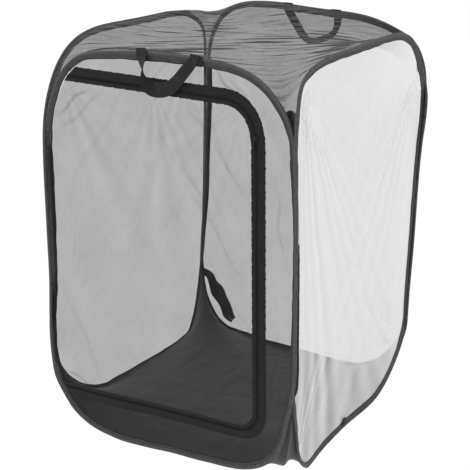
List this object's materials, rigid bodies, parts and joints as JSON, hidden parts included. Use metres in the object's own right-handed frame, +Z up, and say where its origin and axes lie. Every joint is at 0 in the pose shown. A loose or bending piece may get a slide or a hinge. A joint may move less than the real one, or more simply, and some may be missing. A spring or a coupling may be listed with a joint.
{
  "type": "collapsible mesh insect cage",
  "caption": "Collapsible cage with hooped mesh walls, a clear film side, a zipped door, a cloth floor and two carrying loops",
  "frame": {"origin": "on the ground, in the middle of the four walls", "axes": "+Z up, -Y out through the zipped door, +X out through the film wall"},
  "size_m": [0.61, 0.6137, 0.8821],
  "materials": {
    "spring_steel": "drawn spring steel wire",
    "crimped_sleeve": "crimped sleeve",
    "binding_tape": "dark grey woven binding tape, slightly shiny",
    "fine_black_mesh": "fine black netting, see-through",
    "frosted_film": "milky translucent soft film",
    "black_floor_cloth": "black coated cloth",
    "zipper_tape": "black woven zipper tape",
    "nylon_teeth": "black nylon coil",
    "black_enamel": "black enamelled zinc",
    "black_webbing": "black woven webbing",
    "black_elastic": "black elastic"
  },
  "bodies": {
    "back_wall": {"back_binding": "binding_tape", "back_hoop_wire": "spring_steel", "back_wire_ferrule": "crimped_sleeve", "back_mesh_wall": "fine_black_mesh", "roof_mesh": "fine_black_mesh", "floor_cloth": "black_floor_cloth", "back_left_corner_tape": "binding_tape", "back_right_corner_tape": "binding_tape", "back_loop_tab_left": "black_webbing", "back_loop_tab_right": "black_webbing", "stow_strap": "black_webbing"},
    "right_wall": {"right_binding": "binding_tape", "right_hoop_wire": "spring_steel", "right_wire_ferrule": "crimped_sleeve", "right_film_wall": "frosted_film", "front_right_corner_tape": "binding_tape", "elastic_tab": "black_elastic"},
    "left_wall": {"left_binding": "binding_tape", "left_hoop_wire": "spring_steel", "left_wire_ferrule": "crimped_sleeve", "left_mesh_wall": "fine_black_mesh", "front_left_corner_tape": "binding_tape"},
    "front_wall": {"front_binding": "binding_tape", "front_hoop_wire": "spring_steel", "front_wire_ferrule": "crimped_sleeve", "front_mesh_surround": "fine_black_mesh", "zip_tape_front": "zipper_tape", "zip_teeth_front": "nylon_teeth", "zip_stop_top": "black_enamel", "zip_stop_foot": "black_enamel", "front_loop_tab_left": "black_webbing", "front_loop_tab_right": "black_webbing"},
    "door": {"door_mesh": "fine_black_mesh", "zip_tape_door": "zipper_tape", "zip_teeth_door": "nylon_teeth"},
    "slider": {"zip_slider": "black_enamel"},
    "pull": {"zip_pull": "black_enamel"},
    "front_loop": {"front_carrying_loop": "black_webbing"},
    "back_loop": {"back_carrying_loop": "black_webbing"}
  },
  "joints": [
    {"name": "right_fold", "type": "hinge", "parent": "back_wall", "child": "right_wall", "pos_m": [0.296, 0.296, 0], "axis": [0, 0, 1], "range_deg": [0, 90], "deforming": ["roof_mesh", "floor_cloth", "back_right_corner_tape"]},
    {"name": "left_fold", "type": "hinge", "parent": "back_wall", "child": "left_wall", "pos_m": [-0.296, 0.296, 0], "axis": [0, 0, 1], "range_deg": [0, 90], "deforming": ["back_left_corner_tape", "front_left_corner_tape"]},
    {"name": "front_fold", "type": "hinge", "parent": "right_wall", "child": "front_wall", "pos_m": [0.296, -0.296, 0], "axis": [0, 0, 1], "range_deg": [-90, 0], "deforming": ["front_right_corner_tape"]},
    {"name": "door_swing", "type": "hinge", "parent": "front_wall", "child": "door", "pos_m": [-0.278, -0.3045, 0.43], "axis": [0, 0, -1], "range_deg": [0, 165]},
    {"name": "slider_travel", "type": "slide", "parent": "door", "child": "slider", "axis": [0.0352, 0, -0.9994], "range_m": [0, 0.54]},
    {"name": "pull_swing", "type": "hinge", "parent": "slider", "child": "pull", "pos_m": [0.21334, -0.30525, 0.72396], "axis": [-1, 0, 0], "range_deg": [0, 150]},
    {"name": "front_loop_swing", "type": "hinge", "parent": "front_wall", "child": "front_loop", "pos_m": [0.019, -0.3059, 0.86251], "axis": [-1, 0, 0], "range_deg": [0, 220]},
    {"name": "back_loop_swing", "type": "hinge", "parent": "back_wall", "child": "back_loop", "pos_m": [0.004, 0.3059, 0.88208], "axis": [1, 0, 0], "range_deg": [0, 260]}
  ],
  "couplings": [
    {"joint": "left_fold", "follows": "right_fold", "ratio": 1},
    {"joint": "front_fold", "follows": "right_fold", "ratio": -1}
  ]
}
